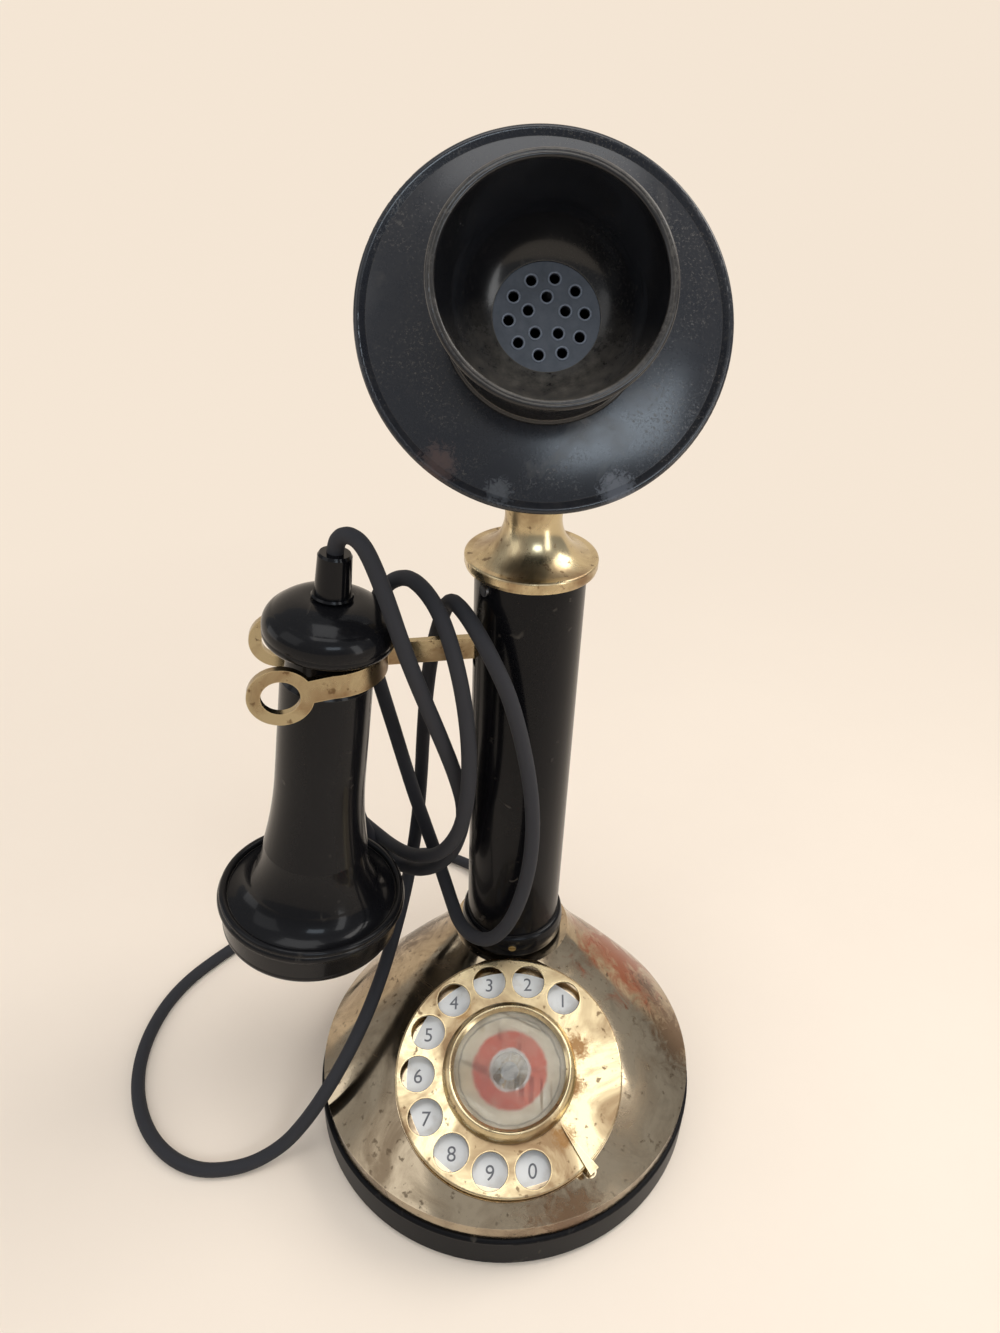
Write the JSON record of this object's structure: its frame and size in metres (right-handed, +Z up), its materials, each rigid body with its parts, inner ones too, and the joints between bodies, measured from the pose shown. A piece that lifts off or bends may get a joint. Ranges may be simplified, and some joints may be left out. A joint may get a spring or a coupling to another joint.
{
  "type": "candlestick telephone",
  "caption": "Upright desk telephone with a rotary dial on a round brass base, a column with a tilting mouthpiece, and a receiver hung on a forked switch hook.",
  "frame": {"origin": "centre of the felt pad on the table", "axes": "+Z up the column, front of the telephone faces -Y, receiver on the -X side"},
  "size_m": [0.2093, 0.1896, 0.3191],
  "materials": {
    "black_enamel": "glossy black enamel, worn at the edges",
    "aged_brass": "tarnished spun brass",
    "bright_brass": "polished brass with tarnish spots",
    "ebonite": "black ebonite, dusty patina",
    "plinth_black": "satin black",
    "cord_rubber": "satin black rubber",
    "felt": "felt",
    "white_enamel": "white enamel",
    "card_paper": "paper card",
    "clear_window": "clear",
    "steel": "plain steel",
    "iron": "rough cast",
    "grille_grey": "blue-grey lacquer",
    "fibre_board": "insulating fibre",
    "copper": "enamelled copper wire"
  },
  "bodies": {
    "base": {"felt_pad": "felt", "base_plate": "steel", "base_screws": "steel", "base_plinth": "plinth_black", "ballast_weight": "iron", "base_cover": "aged_brass", "terminal_block": "fibre_board", "terminal_screws": "bright_brass", "cord_grommet": "cord_rubber", "line_grommet": "cord_rubber", "dial_mount": "aged_brass", "number_plate": "white_enamel", "finger_stop": "bright_brass", "dial_frame": "steel", "dial_bush": "bright_brass", "mainspring_barrel": "steel", "pulse_contacts": "fibre_board", "column_tube": "black_enamel", "column_collar": "black_enamel", "collar_screw": "bright_brass", "column_cap": "bright_brass", "cap_screw": "steel", "tilt_yoke": "bright_brass", "tilt_pin": "steel", "hook_bracket": "steel", "hook_pin": "steel", "contact_springs": "bright_brass", "contact_insulators": "fibre_board", "cord_tail": "cord_rubber"},
    "dial": {"finger_wheel": "bright_brass", "card_ring": "bright_brass", "dial_card": "card_paper", "card_window": "clear_window", "dial_shaft": "steel", "dial_gear": "bright_brass"},
    "governor": {"governor_pinion": "steel", "governor_weights": "bright_brass"},
    "transmitter": {"faceplate": "ebonite", "transmitter_shell": "black_enamel", "mouthpiece": "ebonite", "mouthpiece_grille": "grille_grey", "transmitter_diaphragm": "steel", "transmitter_capsule": "bright_brass", "faceplate_screws": "steel", "tilt_lug": "bright_brass"},
    "hook": {"hook_lever": "bright_brass", "cord_lead": "cord_rubber", "cord_drape": "cord_rubber"},
    "receiver": {"receiver_shell": "ebonite", "receiver_cap": "ebonite", "cord_sleeve": "cord_rubber", "sleeve_ring": "steel", "ear_cap": "ebonite", "receiver_diaphragm": "steel", "receiver_magnet": "iron", "receiver_coils": "copper"}
  },
  "joints": [
    {"name": "dial_turn", "type": "hinge", "parent": "base", "child": "dial", "pos_m": [0, -0.0285, 0.0467], "axis": [0, -0.3518, 0.9361], "range_deg": [-330, 0], "stiffness_Nm_per_rad": 0.008},
    {"name": "governor_spin", "type": "hinge", "parent": "base", "child": "governor", "pos_m": [0.02, -0.0285, 0.0467], "axis": [0, -0.3518, 0.9361], "range_deg": [-20, 1340]},
    {"name": "transmitter_tilt", "type": "hinge", "parent": "base", "child": "transmitter", "pos_m": [0, 0.031, 0.236], "axis": [1, 0, 0], "range_deg": [-18, 15]},
    {"name": "hook_lift", "type": "hinge", "parent": "base", "child": "hook", "pos_m": [-0.00783, 0.02538, 0.181], "axis": [-0.2028, 0.9792, 0], "range_deg": [0, 5], "stiffness_Nm_per_rad": 0.15, "springref_deg": 17.19},
    {"name": "receiver_lift_off", "type": "slide", "parent": "hook", "child": "receiver", "axis": [-0.9578, -0.1984, 0.2079], "range_m": [0, 0.05]}
  ],
  "couplings": [
    {"joint": "governor_spin", "follows": "dial_turn", "ratio": -4}
  ]
}
